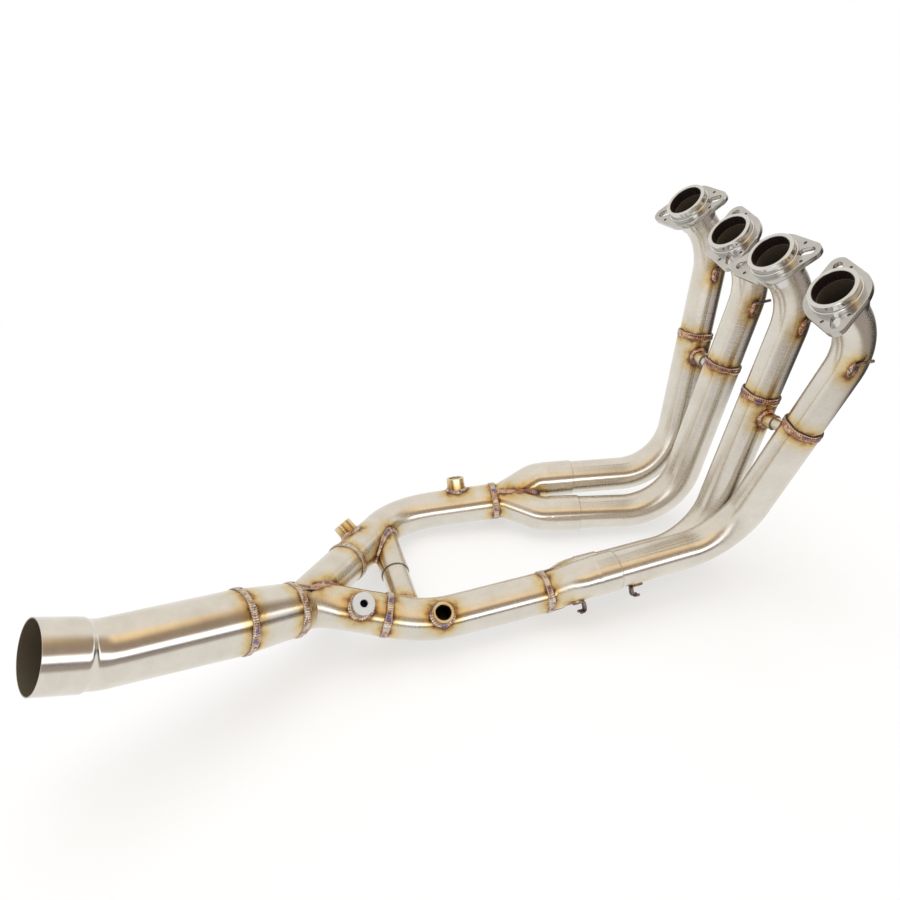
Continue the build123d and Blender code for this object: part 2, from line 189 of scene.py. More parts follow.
def connect(tree, value, socket):
    """Links an output to a socket, or sets the socket to a constant."""
    if isinstance(value, bpy.types.NodeSocket):
        tree.links.new(value, socket)
    else:
        socket.default_value = value


def node_adder(tree):
    """A short way to add a node: kind, settings, the output to give back, and inputs by name or by number after i."""
    def node(kind, settings=(), out=0, **inputs):
        made = tree.nodes.new("ShaderNode" + kind)
        for key, value in dict(settings).items():
            setattr(made, key, value)
        for key, value in inputs.items():
            connect(tree, value, made.inputs[int(key[1:]) if key[1:].isdigit() else key])
        return made.outputs[out] if made.outputs else made

    return node


def mark(node, name, out="Fac"):
    """One of the named values that a piece keeps for its points."""
    return node("Attribute", {"attribute_name": name}, out)


def noise(node, place, scale, detail, roughness=0.5):
    """Soft noise from 0 to 1."""
    return node("TexNoise", out="Fac", Vector=place, Scale=scale, Detail=detail, Roughness=roughness)


def ramp(node, value, stops):
    """A colour ramp through (position, colour) stops."""
    colour = node("ValToRGB", Fac=value)
    elements = colour.node.color_ramp.elements
    while len(elements) < len(stops):
        elements.new(0.5)
    for element, (position, tint) in zip(elements, stops):
        element.position = position
        element.color = (*tint, 1.0)
    return colour


def blend(node, share, first, second, kind="MIX"):
    """The first colour mixed with a share of the second."""
    return node("Mix", {"data_type": "RGBA", "blend_type": kind}, 2, i0=share, i6=first, i7=second)


def rescale(node, value, to, source=(0.0, 1.0), kind="LINEAR"):
    """A value taken from one range to another and held inside it."""
    return node("MapRange", {"interpolation_type": kind}, i0=value, i1=source[0], i2=source[1], i3=to[0], i4=to[1])


def maths(node, operation, first, second=0.0):
    """One sum on two values."""
    return node("Math", {"operation": operation}, i0=first, i1=second)


def steel_base(name):
    """A metal material, a way to add nodes to it, a way to feed its shader, and the place on the object."""
    material = bpy.data.materials.new(name)
    material.use_nodes = True
    tree = material.node_tree
    node = node_adder(tree)

    def feed(key, value):
        connect(tree, value, tree.nodes["Principled BSDF"].inputs[key])

    feed("Metallic", 1.0)
    return material, node, feed, node("TexCoord", out="Object")


def paint_bore_shade(node, feed, steel, dark, dull):
    """Painted shade in a bore: the base colour turns from steel to dark there, and is no longer metallic if dull."""
    bore = mark(node, "inside")
    feed("Base Color", blend(node, bore, steel, dark))
    if dull:
        feed("Metallic", maths(node, "SUBTRACT", 1.0, bore))


# Bright turned and milled stainless has fine tool marks in its roughness and faint grey clouding; its bore is darkened
# by painted shade.
bright_steel, node, feed, place = steel_base("machined_steel")
milled = ramp(node, noise(node, place, 45.0, 2.0), ((0.3, (0.47, 0.46, 0.44)), (0.7, (0.56, 0.55, 0.53))))
steel = blend(node, mark(node, "lathe"), milled, (0.66, 0.65, 0.63, 1))
paint_bore_shade(node, feed, steel, (0.022, 0.015, 0.014, 1), True)
feed("Roughness", rescale(node, noise(node, place, 900.0, 2.0), (0.10, 0.22)))
plate_middle = spigot_height + plate_thickness / 2
collar_foot = spigot_height + plate_thickness + collar_length
spigot_profile = np.array((
    (bore_r + face_edge, 0.0), (spigot_r - face_edge, 0.0), (spigot_r, -face_edge), (spigot_r, -groove_top),
    (spigot_r - groove, -groove_deep), (spigot_r - groove, -groove_foot), (spigot_base_r - face_edge, -base_top),
    (spigot_base_r, -base_top - face_edge), (spigot_base_r, -plate_middle), (collar_r, -plate_middle),
    (collar_r, -collar_foot), (seat_r, -collar_foot), (seat_r, -tube_seat - seat_gap),
    (bore_r, -tube_seat - seat_gap), (bore_r, -face_edge)))
# The last rows of the profile, down the bore, are marked for painted shade.
spigot_bore_shade = (np.arange(len(spigot_profile)) >= len(spigot_profile) - shaded_bore_rows).astype(float)[:, None]
plate_mesh = flange_plate()
plate_points = mesh_points(plate_mesh).astype(float)
for number, (port, turn) in enumerate(zip(ports, ear_turns), 1):
    spigot = turned(spigot_profile, port, port_axis), True, True, {"inside": spigot_bore_shade, "lathe": 1.0}
    flange = piece(f"flange_{number}", [spigot], [bright_steel], f"port_flange_{number}")
    ear_axis = spokes(port_axis, (turn,), ear_zero)[0]
    placed = ((port - port_axis * plate_middle) * metre
              + plate_points @ np.array((ear_axis, np.cross(port_axis, ear_axis), port_axis)))
    plate = plate_mesh.copy()
    plate.vertices.foreach_set("co", placed.astype(np.float32).ravel())
    join = bmesh.new()
    join.from_mesh(flange.data)
    join.from_mesh(plate)
    join.to_mesh(flange.data)
    join.free()
    bpy.data.meshes.remove(plate)
bpy.data.meshes.remove(plate_mesh)

# Upper primaries: mandrel-bent stainless tube, 38 mm across, satin finished with a belt that leaves fine rings.
# Each goes from its flange's seat, round one bend, and down into the mouth of the wider lower tube.
wall, upper_r, lower_r = 1.2, 19.05, 20.65
necks = np.array((75.0, 71.0, 75.0, 78.0))
upper_bend, weld_drop, insertion = 71.5, 109.0, 10.0
corners = np.array(((3.0, 78.5, 44.0), (-16.5, 29.5, 19.8), (-14.0, -40.5, 19.9),
                    (-5.5, -77.0, 53.5))) + row_to_centre
uppers = ports - port_axis * necks[:, None]
downs = unit(corners - uppers)
splits = uppers + downs * weld_drop


def walked(places):
    """Distance along a line of points, from its start to each point."""
    return np.concatenate(([0.0], np.cumsum(np.linalg.norm(np.diff(places, axis=0), axis=1))))


def bent_line(points, bends, step=2.0):
    """Stations on straight runs joined by tangent arcs: their places, directions and distances from the start.

    At a corner that turns by t, an arc of radius r starts r tan(t / 2) before it, and each station on the arc is
    the arc's centre plus r times the direction turned so far.
    """
    places, ways, last = [], [], points[0]
    for corner, after, bend in zip(points[1:], points[2:], bends):
        a, b = unit(corner - last), unit(after - corner)
        turn = np.arccos(np.clip(a @ b, -1, 1))
        tangent, inward = bend * np.tan(turn / 2), unit(off_axis(b, a))
        start = corner - a * tangent
        count = max(2, int(np.linalg.norm(start - last) / step))
        angle = np.linspace(0, turn, max(3, int(bend * turn / step)), endpoint=False)[:, None]
        places += [np.linspace(last, start, count, endpoint=False),
                   start + bend * (a * np.sin(angle) + inward * (1 - np.cos(angle)))]
        ways += [np.tile(a, (count, 1)), a * np.cos(angle) + inward * np.sin(angle)]
        last = corner + b * tangent
    count = max(2, int(np.linalg.norm(points[-1] - last) / step)) + 1
    places = np.concatenate((*places, np.linspace(last, points[-1], count)))
    return places, np.concatenate((*ways, np.tile(unit(points[-1] - last), (count, 1)))), walked(places)


def rings(places, ways, radius, angle, reference):
    """Circles square to a line: each point is its place plus the radius in the direction of its angle."""
    return places[:, None] + radius[:, None, None] * spokes(ways, angle, reference)


def unroll(radius, angle, distance):
    """Points of a bent tube as if it were straight: the radius round z, and the distance along z."""
    radius = radius[:, None]
    return np.stack(np.broadcast_arrays(radius * np.cos(angle), radius * np.sin(angle), distance[:, None]), -1)


def tube_wall(line, radius, thickness, reference=(0.0, 1.0, 0.0), columns=72, shaded_rim=False):
    """A tube as one closed sheet: circles along the line outside, then back along it inside."""
    places, ways, distance = (np.concatenate((values, values[::-1])) for values in line)
    radius = np.broadcast_to(radius, line[2].shape)
    wide = np.concatenate((radius, radius[::-1] - thickness))
    # The bore's rows, and the first row at the tube's start if asked, are marked for painted shade.
    inner = np.repeat((0.0, 1.0), len(radius))[:, None]
    inner[0] = float(shaded_rim)
    angle = full_turn(columns)
    return rings(places, ways, wide, angle, reference), True, True, {
        "straight": unroll(wide, angle, distance), "inside": inner, "grain": ways[:, None]}


def heat_tint(node, patches, wander, near, far, stops):
    """A ramp over the distance to the nearest weld, from near to far, which patches of noise move either way."""
    shift = rescale(node, patches, (-wander, wander), (0.2, 0.8))
    reach = maths(node, "ADD", mark(node, "weld_distance"), shift)
    return ramp(node, rescale(node, reach, (0.0, 1.0), (near, far)), stops)


def satin_steel(name, smooth, coarse, spread):
    """Belt-finished stainless tube: pale warm grey, with fine rings round the tube from noise squeezed along it.

    The rings set the roughness, from smooth to coarse, and spread reflections along the tube. Near a weld the heat
    tint goes from violet brown through gold and straw to bare steel. Bores are dark and not metallic, a painted shade.
    """
    material, node, feed, place = steel_base(name)
    squeezed = node("Mapping", Vector=mark(node, "straight", "Vector"), Scale=(0.02, 0.02, 2.2))
    belt = noise(node, squeezed, 1.0, 4.0, 0.7)
    cloud = noise(node, place, 38.0, 4.0, 0.6)
    steel = ramp(node, cloud, ((0.25, (0.635, 0.592, 0.528)), (0.75, (0.735, 0.698, 0.634))))
    tint = heat_tint(node, noise(node, place, 120.0, 3.0), 0.004, 0.003, 0.021, (
        (0.0, (0.28, 0.16, 0.12)), (0.07, (0.50, 0.30, 0.13)), (0.19, (0.82, 0.60, 0.29)),
        (0.40, (0.96, 0.83, 0.56)), (0.70, (0.98, 0.94, 0.84)), (1.0, (1.0, 1.0, 1.0))))
    # Painted shade: bores turn dark brown and not metallic.
    paint_bore_shade(node, feed, blend(node, 1.0, steel, tint, "MULTIPLY"), (0.105, 0.088, 0.065, 1), True)
    feed("Roughness", rescale(node, belt, (smooth, coarse), (0.3, 0.7)))
    feed("Tangent", mark(node, "grain", "Vector"))
    feed("Anisotropic", spread)
    feed("Normal", node("Bump", Strength=0.04, Distance=0.0003, Height=belt))
    return material


satin = satin_steel("satin_steel", 0.21, 0.29, 0.8)
for index in range(4):
    foot = splits[index] + downs[index] * insertion
    upper_line = bent_line((ports[index] - port_axis * tube_seat, uppers[index], foot), (upper_bend,))
    piece(f"upper_tube_{index + 1}", [tube_wall(upper_line, upper_r, wall, shaded_rim=True)],
          [satin], f"upper_primary_{index + 1}")

# Lower primaries: the same tube one size up, bent once at the foot into a level run.
# Each takes the upper tube in its mouth and ends inside a collector socket, held there by springs.
lower_bend = 72.0
ends = np.array(((-158.0, 103.6, 44.0), (-165.0, 59.3, 23.0), (-178.0, -55.9, 22.7),
                 (-178.0, -90.2, 51.4))) + row_to_centre
runs = unit(ends - corners)
for index in range(4):
    lower_line = bent_line((splits[index], corners[index], ends[index]), (lower_bend,))
    piece(f"lower_tube_{index + 1}", [tube_wall(lower_line, lower_r, wall, columns=128)],
          [satin], f"lower_primary_{index + 1}")

# Weld rings between upper and lower primaries: hand-run beads of small overlapping ripples.
# The metal is heat coloured copper and rose with patches of violet and blue.
bead_half_width, bead_half_height, bead_sink, primary_ring_r = 4.1, 2.0, 0.5, lower_r - 0.5
ripple_pitch, ripple_bow, dip_depth, dip_width = 2.4, 0.45, 0.3, 0.35
trough_height, ripple_height, trough_width, ripple_width = 0.84, 0.22, 0.95, 0.07
wanders = ((0.13, 3, 0.6), (0.10, 7, 1.7))
ring_step, heat_reach, heat_stride, gap_batch = 0.38, 0.05, 3, 4000


def line_gap(points, line):
    """Distance from each point to the nearest of a line's stations, a batch of points at a time."""
    flat = points.reshape(-1, 3)
    near = [np.sqrt(((part[:, None] - line) ** 2).sum(2).min(1))
            for part in np.array_split(flat, len(flat) // gap_batch + 1)]
    return np.concatenate(near).reshape(points.shape[:-1])


def scorch(line, *names):
    """Heat tint from a weld: each point of the named pieces keeps its distance to the nearest weld line so far."""
    line = np.asarray(line, np.float32)[::heat_stride] * metre
    low, high = line.min(0) - heat_reach, line.max(0) + heat_reach
    for name in names:
        mesh = bpy.data.objects[name].data
        points, layer = mesh_points(mesh), mesh.attributes["weld_distance"].data
        near = np.empty(len(points), np.float32)
        layer.foreach_get("value", near)
        close = np.flatnonzero(np.all((points > low) & (points < high), axis=1))
        near[close] = np.minimum(near[close], line_gap(points[close], line))
        layer.foreach_set("value", near)


def bead(name, node, metal, places, outward, sideways, half_width, half_height, hosts, closed=True, blued=0.0):
    """A weld bead: an oval section with a shallow dip along its middle, carried along a line. It scorches its hosts.

    A ripple's phase is the distance along the bead over the pitch, bowed by the square of the place across it.
    The size wanders by slow waves along the bead, and an open bead runs out to nothing at its ends.
    """
    half_width, half_height, blued = (np.reshape(values, (-1, 1)) for values in (half_width, half_height, blued))
    distance, around = walked(places), full_turn(24)
    across, height = np.cos(around), np.sin(around)
    whole = distance[-1] + (np.linalg.norm(places[0] - places[-1]) if closed else 0.0)
    pitch = whole / max(1, round(whole / ripple_pitch))
    swell = np.abs(np.sin(np.pi * (distance[:, None] / pitch - ripple_bow * across ** 2)))
    size = (trough_height + ripple_height * swell) * (1 - dip_depth * np.exp(-(across / dip_width) ** 2))
    turn = 2 * np.pi * distance / whole
    wander = 1 + sum(share * np.sin(waves * turn + start) for share, waves, start in wanders)
    if not closed:
        wander *= np.sqrt(np.clip(np.minimum(distance, whole - distance) / (2 * half_height.min()), 0.0, 1.0))
    rise = half_height * height * size * wander[:, None]
    reach = half_width * across * (trough_width + ripple_width * swell) * wander[:, None]
    points = places[:, None] + outward[:, None] * rise[..., None] + sideways[:, None] * reach[..., None]
    piece(name, [(points, closed, True, {"ripple": swell, "toe": np.abs(across), "blued": blued})],
          [metal], node)
    scorch(places, *hosts)


def ring_bead(name, node, metal, point, axis, radius, *hosts):
    """A weld ring: the bead's line is a circle round the axis, sunk a little into the tubes."""
    spoke = spokes(axis, full_turn(int(2 * np.pi * radius / ring_step)))
    bead(name, node, metal, point + spoke * (radius - bead_sink), spoke, np.broadcast_to(axis, spoke.shape),
         bead_half_width, bead_half_height, hosts)


def weld_metal(name, stops):
    """Weld bead metal: noise picks heat colours from the stops in patches, with painted shade darker between the
    ripples.

    Towards the bead's edges it turns silver, then near black at the very toe.
    """
    material, node, feed, place = steel_base(name)
    across = mark(node, "toe")
    silver = ramp(node, across, ((0.6, (0.56, 0.50, 0.42)), (0.82, (0.50, 0.42, 0.35)), (0.97, (0.09, 0.065, 0.065))))
    outer = rescale(node, across, (0.0, 1.0), (0.5, 0.8), "SMOOTHSTEP")
    colour = blend(node, outer, ramp(node, noise(node, place, 110.0, 3.0, 0.65), stops), silver)
    # Painted shade in the troughs between the ripples.
    depth = ramp(node, mark(node, "ripple"), ((0.0, (0.30, 0.26, 0.30)), (0.55, (1.0, 1.0, 1.0))))
    colour = blend(node, 1.0, colour, depth, "MULTIPLY")
    feed("Base Color", blend(node, mark(node, "blued"), colour, (0.055, 0.085, 0.26, 1)))
    grit = noise(node, place, 700.0, 2.0)
    feed("Roughness", rescale(node, grit, (0.10, 0.24)))
    feed("Normal", node("Bump", Strength=0.2, Distance=0.0003, Height=grit))
    return material


copper_weld = weld_metal("copper_weld", (
    (0.33, (0.09, 0.11, 0.29)), (0.39, (0.24, 0.13, 0.18)), (0.45, (0.42, 0.19, 0.09)),
    (0.52, (0.60, 0.32, 0.18)), (0.59, (0.70, 0.54, 0.41)), (0.68, (0.22, 0.14, 0.13))))
for number, (split, down) in enumerate(zip(splits, downs), 1):
    ring_bead(f"primary_bead_{number}", f"primary_weld_{number}", copper_weld, split, down, primary_ring_r,
              f"upper_tube_{number}", f"lower_tube_{number}")

# Balance tubes: a short sleeve welded to one primary of each pair takes a thinner tube from the next.
# They are small drawn tubes, gold all over from the welding next to them.
balance_sleeve_r, balance_tube_r, slip_clearance, balance_weld = 8.5, 6.7, 0.15, 2.7
balance_drops, balance_split, balance_lap = np.array((22.0, 10.2)), 0.5, 6.0
saddle_zero, saddle_step, branch_step, root_sink, fillet_rise = (0.31, 0.52, 0.79), 0.36, 1.5, 0.3, 0.9


def saddle(way, radius, angle, pipe_axis, pipe_r):
    """Lines along a round bar that starts on a pipe's axis: their offsets, and how far each goes inside the pipe.

    A line comes out where its distance to the axis is the pipe's radius, the larger root of a quadratic.
    """
    spoke = radius * spokes(way, angle, saddle_zero)
    gap, rise = off_axis(spoke, pipe_axis), off_axis(way, pipe_axis)
    a, b, c = rise @ rise, gap @ rise, np.sum(gap * gap, axis=1) - pipe_r ** 2
    return spoke, (-b + np.sqrt(b * b - a * c)) / a


def branch(origin, way, radius, thickness, length, pipe_axis, pipe_r, columns=64):
    """A straight tube off a pipe: outside lines from the pipe's surface to the end, then back along the bore."""
    share = np.linspace(0, 1, max(3, int(length / branch_step)))[:, None]
    sheets = []
    for size, order in ((radius, share), (radius - thickness, share[::-1])):
        spoke, start = saddle(way, size, full_turn(columns), pipe_axis, pipe_r - root_sink)
        sheets.append(origin + spoke + ((1 - order) * start + order * length)[..., None] * way)
    inner = np.repeat((0.0, 1.0), len(share))[:, None]
    return np.concatenate(sheets), True, True, {"inside": inner, "grain": way}


def saddle_bead(name, node, metal, origin, way, radius, pipe_axis, pipe_r, size, *hosts):
    """A fillet weld: a round bead on the curve where a bar leaves a pipe, leaning out between the two."""
    spoke, start = saddle(way, radius, full_turn(int(2 * np.pi * radius / saddle_step)), pipe_axis, pipe_r)
    line = spoke + start[:, None] * way
    along = unit(np.roll(line, -1, axis=0) - np.roll(line, 1, axis=0))
    outward, sideways = square_axes(along, unit(spoke) + unit(off_axis(line, pipe_axis)))
    bead(name, node, metal, origin + line, outward, sideways, size, size * fillet_rise, hosts)


def slip_link(sleeve, tube, feet, axes, pipe_r, sleeve_r, tube_r, sleeve_length, lap):
    """A sleeve off one pipe over a thinner tube off another, each named as (piece, node). Gives the direction."""
    way, span = unit(feet[1] - feet[0]), np.linalg.norm(feet[1] - feet[0])
    for (name, node), foot, side, radius, thickness, length, axis in zip(
            (sleeve, tube), feet, (way, -way), (sleeve_r, tube_r), (sleeve_r - tube_r - slip_clearance, wall),
            (sleeve_length, span - sleeve_length + lap), axes):
        piece(name, [branch(foot, side, radius, thickness, length, axis, pipe_r)], [satin], node)
    return way


for letter, pair in (("a", [0, 1]), ("b", [2, 3])):
    feet = splits[pair] + downs[pair] * balance_drops[:, None]
    sleeve, tube = "balance_sleeve_" + letter, "balance_tube_" + letter
    way = slip_link((sleeve + "_steel", sleeve), (tube + "_steel", tube), feet, downs[pair], lower_r,
                    balance_sleeve_r, balance_tube_r, np.linalg.norm(feet[1] - feet[0]) * balance_split, balance_lap)
    saddle_bead("balance_bead_" + letter, "balance_weld_" + letter, copper_weld, feet[0], way, balance_sleeve_r,
                downs[pair[0]], lower_r, balance_weld, f"lower_tube_{pair[0] + 1}", sleeve + "_steel",
                tube + "_steel")

# Merge collectors: two formed legs cut to each other and welded along the cut, with swaged sockets for the primaries.
# Their legs bend together into one outlet, which a weld ring joins to the secondary.
upright = (0.0, 0.0, 1.0)
socket_r, leg_r, outlet_run, leg_step, socket_slope, leg_overlap = 22.2, 21.5, 12.0, 1.0, 3.0, 0.05
outlets = np.array(((-228.0, 97.4, 28.4), (-231.0, -80.7, 33.4))) + row_to_centre
elbows = np.array(((-350.0, 115.0, 20.1), (-364.0, -85.5, 30.5))) + row_to_centre
exit_axes = unit(elbows - outlets)
socket_depths, leg_bends = (34.0, 25.0), (30.0, 28.0)
seam_half_width, seam_half_height, crotch_swell, crotch_rise, crotch_reach = 2.8, 1.8, 5.0, 4.2, 15.0
least_cut, seam_trim, seam_fineness, search_steps, tiny = 0.02, 2, 3, 361, 1e-6


def smooth_step(share):
    """An easy change from 0 to 1: three times the square less twice the cube."""
    share = np.clip(share, 0, 1)
    return share * share * (3 - 2 * share)


def first_below(values, samples):
    """Where each row of values, sampled from 0, first goes below 0, between two samples, or else the last sample."""
    below = values < 0
    hit = np.where(below.any(axis=1), below.argmax(axis=1), len(samples) - 1)
    before, rows = np.maximum(hit - 1, 0), np.arange(len(values))
    start = values[rows, before]
    part = start / np.maximum(start - values[rows, hit], tiny ** 2)
    return samples[before] + np.clip(part, 0, 1) * samples[1]


def outside_arcs(places, ways, radius, facing, neighbour, columns=96):
    """Angles on each circle that lie outside a neighbouring leg, spread evenly over the open arc.

    The arc starts and ends where the circle, sampled from the facing side both ways, comes out of the neighbour.
    Also tells which circles are cut.
    """
    first, second = square_axes(ways, upright)
    toward = np.arctan2(second @ facing, first @ facing)[:, None]
    turn = np.linspace(0, np.pi, search_steps)
    circles = (rings(places, ways, radius, toward + side * turn, upright) for side in (1, -1))
    start, finish = (first_below(leg_r - line_gap(circle, neighbour), turn)[:, None] for circle in circles)
    open_arc = 2 * np.pi - finish - start
    return toward + start + open_arc * np.linspace(0, 1, columns), (start + finish)[:, 0] > least_cut


def resample(line, stations, wanted):
    """Points on a line at the wanted stations, straight between the ones it has."""
    return np.stack([np.interp(wanted, stations, line[:, k]) for k in range(3)], -1)


def seam_bead(name, node, line, outward, half_width, half_height, host, blued=0.0):
    """A seam weld: an open bead along a line, turned outward as far as square to the line allows."""
    outward, sideways = square_axes(unit(np.gradient(line, axis=0)), outward)
    bead(name, node, copper_weld, line, outward, sideways, half_width, half_height, (host,), False, blued)


silver_weld = weld_metal("silver_weld", (
    (0.29, (0.13, 0.16, 0.36)), (0.38, (0.26, 0.18, 0.27)), (0.45, (0.55, 0.33, 0.18)),
    (0.52, (0.64, 0.52, 0.41)), (0.60, (0.72, 0.67, 0.60)), (0.67, (0.18, 0.13, 0.14))))
for index, side in enumerate(("left", "right")):
    outlet, exit_axis, depth = outlets[index], exit_axes[index], socket_depths[index]
    legs = (2 * index, 2 * index + 1)
    lines = [bent_line((ends[leg] - runs[leg] * depth, ends[leg] + runs[leg] * outlet_run,
                        outlet - exit_axis * outlet_run, outlet), (leg_bends[index],) * 2, leg_step) for leg in legs]
    sheets, cuts = [], []
    for own, other in ((0, 1), (1, 0)):
        places, ways, distance = lines[own]
        apart = unit(ends[legs[other]] - ends[legs[own]])
        radius = socket_r + (leg_r - socket_r) * smooth_step((distance - depth) / socket_slope)
        angle, cut = outside_arcs(places, ways, radius, apart, lines[other][0] + apart * leg_overlap)
        sheets.append((rings(places, ways, radius, angle, upright), False, False,
                       {"straight": unroll(radius, angle, distance), "grain": ways[:, None]}))
        cuts.append(np.flatnonzero(cut)[:-seam_trim])
    collector = piece(side + "_merge", sheets, [satin], side + "_collector")
    solid = collector.modifiers.new("wall", "SOLIDIFY")
    solid.thickness, solid.offset = wall * metre, -1.0
    surface, edge = sheets[0][0], cuts[0]
    seam = np.concatenate((surface[edge[::-1], 0], surface[edge, -1]))
    stations = np.arange(len(seam))
    seam = resample(seam, stations, np.linspace(0, stations[-1], len(seam) * seam_fineness))
    walk = walked(seam)
    crotch = np.exp(-((walk - walk[len(walk) // 2]) / crotch_reach) ** 2)[:, None]
    outward = unit(off_axis(seam - outlet, exit_axis) + tiny) * (1 - crotch) - exit_axis * crotch
    seam_bead(side + "_seam_bead", side + "_collector_seam", seam, outward, seam_half_width + crotch_swell * crotch,
              seam_half_height + crotch_rise * crotch, side + "_merge", crotch)

# Secondaries: one bent tube from each merge collector to the Y collector, 45 mm across.
# Weld rings join both ends, and each tube is pierced under its sensor bungs.
second_r, second_bends, second_sink = 22.5, (76.0, 150.0), 0.3
y_outlet = np.array((-499.7, -71.5, 72.6)) + row_to_centre
tail_kink = np.array((-666.0, -142.0, 134.0)) + row_to_centre
y_meet, y_entry, left_ring, right_ring = 7.1, 31.1, 135.8, 45.1
tail_axis = unit(tail_kink - y_outlet)
y_turn = y_outlet - tail_axis * y_entry
leg_axes = unit(np.array((y_outlet - tail_axis * y_meet, y_turn)) - elbows)
ring_points = elbows + leg_axes * np.array((left_ring, right_ring))[:, None]
for index, side in enumerate(("left", "right")):
    second_line = bent_line((outlets[index], elbows[index], ring_points[index]), (second_bends[index],))
    piece(side + "_pipe", [tube_wall(second_line, second_r, wall, upright)],
          [satin], side + "_secondary")
    ring_bead(side + "_merge_bead", side + "_collector_weld", silver_weld, outlets[index], exit_axes[index],
              second_r - second_sink, side + "_merge", side + "_pipe", side + "_seam_bead")

# Sensor bungs: turned threaded bosses welded on the secondaries and the Y collector, straw and gold from the weld.
# Three stand open and the fourth is closed by a bright turned plug.
bung_r, bung_hole_r, bung_edge, bung_weld, thread_rows = 11.0, 8.2, 0.7, 2.9, 6
thread_pitch, thread_depth, thread_length, thread_start, bore_end, unshaded_thread = 1.5, 0.45, 12.0, 0.5, 0.4, 8.0
bung_places, bung_heights = np.array((45.0, 97.0, 120.0, 75.2)), (37.0, 37.0, 31.0, 37.0)
bung_leans = np.array(((0.03, 0.41, 0.91), (-0.505, 0.572, 0.647), (0.01, -0.54, 0.84), (0.091, -0.607, 0.79)))
bung_pipes = np.stack((exit_axes, leg_axes), 1).reshape(4, 3)
bung_seats = np.stack((outlets, elbows), 1).reshape(4, 3) + bung_pipes * bung_places[:, None]
bung_ups = square_axes(bung_pipes, bung_leans)[0]
bung_hosts = ("left_pipe", "left_pipe", "right_pipe", "y_merge")


def boss(seat, up, height, pipe_axis, columns=72):
    """A threaded boss: its side from the pipe up, a chamfered rim, then down a bore whose radius follows a screw.

    The thread's depth is a triangle wave of the height over the pitch plus the share of a turn.
    """
    angle, level_row = full_turn(columns), np.ones(columns)
    outer = saddle(up, bung_r, angle, pipe_axis, second_r - root_sink)[1]
    inner = saddle(up, bung_hole_r, angle, pipe_axis, second_r - wall)[1]
    foot = max(height - thread_length, inner.max() + bore_end)
    bore = np.arange(height - bung_edge, foot, -thread_pitch / thread_rows)
    turn = (bore[:, None] / thread_pitch + angle / (2 * np.pi)) % 1.0
    start = np.clip((height - bung_edge - bore) / thread_start, 0, 1)[:, None]
    thread = bung_hole_r + thread_depth * (1 - np.abs(2 * turn - 1)) * start
    rim = (bung_r, bung_r, bung_r - bung_edge, bung_hole_r + bung_edge)
    radius = np.vstack((np.outer(rim, level_row), thread, bung_hole_r * level_row))
    level = np.vstack((outer, np.outer((height - bung_edge, height, height, *bore), level_row), inner))
    # Painted shade: the bore turns dark below the first stretch of thread.
    dark = np.clip((height - level - unshaded_thread) / unshaded_thread, 0, 1)
    dark[:len(rim)] = 0
    points = seat + radius[..., None] * spokes(up, angle, saddle_zero) + level[..., None] * up
    return points, True, True, {"inside": dark}


def plain_metal(name, scale, detail, stops, rough, dark=(0, 0, 0, 1), heat=()):
    """Metal coloured by a ramp over noise, or by heat that the noise moves, rough by the noise, with painted shade
    darkening a bore.
    """
    material, node, feed, place = steel_base(name)
    cloud = noise(node, place, scale, detail)
    colour = heat_tint(node, cloud, *heat, stops) if heat else ramp(node, cloud, stops)
    paint_bore_shade(node, feed, colour, dark, False)
    feed("Roughness", rescale(node, cloud, rough))
    return material


def pierce(name, seat, up, radius, reach):
    """Drills a hole into a piece: takes away a round bar that starts on the pipe's axis."""
    bar = turned(np.array(((0.0, 0.0), (radius, 0.0), (radius, reach), (0.0, reach))), seat, up, 48)
    mesh = bpy.data.meshes.new("drill")
    mesh.from_pydata(bar.reshape(-1, 3) * metre, [], grid_faces(*bar.shape[:2], False, True).tolist())
    clean(mesh)
    target = bpy.data.objects[name]
    cut = target.modifiers.new("hole", "BOOLEAN")
    cut.operation, cut.solver, cut.object = "DIFFERENCE", "EXACT", add_object("drill", mesh)
    holed = bpy.data.meshes.new_from_object(target.evaluated_get(bpy.context.evaluated_depsgraph_get()))
    bpy.data.objects.remove(cut.object)
    target.modifiers.remove(cut)
    target.data = holed


# The bosses are straw coloured by the weld at their foot and gold brown lower down, and painted shade darkens their
# bores.
bung_steel = plain_metal("bung_steel", 150.0, 3.0, (
    (0.0, (0.25, 0.14, 0.12)), (0.2, (0.48, 0.29, 0.12)), (0.5, (0.66, 0.50, 0.26)), (1.0, (0.74, 0.68, 0.54))),
    (0.14, 0.28), (0.02, 0.014, 0.01, 1), (0.002, 0.001, 0.018))
for host, seat, up, height in zip(bung_hosts[:3], bung_seats, bung_ups, bung_heights):
    pierce(host, seat, up, bung_hole_r, height)
for number, parts in enumerate(zip(bung_seats, bung_ups, bung_heights, bung_pipes), 1):
    piece(f"bung_{number}", [boss(*parts)], [bung_steel], f"sensor_bung_{number}")
plug_head_r, plug_head, plug_shank, plug_edge, plug_gap = 11.4, 4.0, 9.0, 0.8, 0.1
plug_socket_r, plug_socket_edge, plug_socket_rows = 3.9, 0.4, 2
plug_profile = np.array((
    (0.0, -plug_shank / 2), (plug_socket_r, -plug_shank / 2), (plug_socket_r, plug_head - plug_socket_edge),
    (plug_socket_r + plug_socket_edge, plug_head), (plug_head_r - plug_edge, plug_head),
    (plug_head_r, plug_head - plug_edge), (plug_head_r, 0.0), (bung_hole_r - plug_gap, 0.0),
    (bung_hole_r - plug_gap, -plug_shank), (0.0, -plug_shank)))
# The plug's alloy is near white with faint turning marks, and painted shade makes it black down in the drive socket.
plug_alloy = plain_metal("plug_alloy", 800.0, 2.0, ((0.3, (0.68, 0.75, 0.88)), (0.7, (0.76, 0.83, 0.96))),
                         (0.40, 0.55), (0.01, 0.01, 0.012, 1))
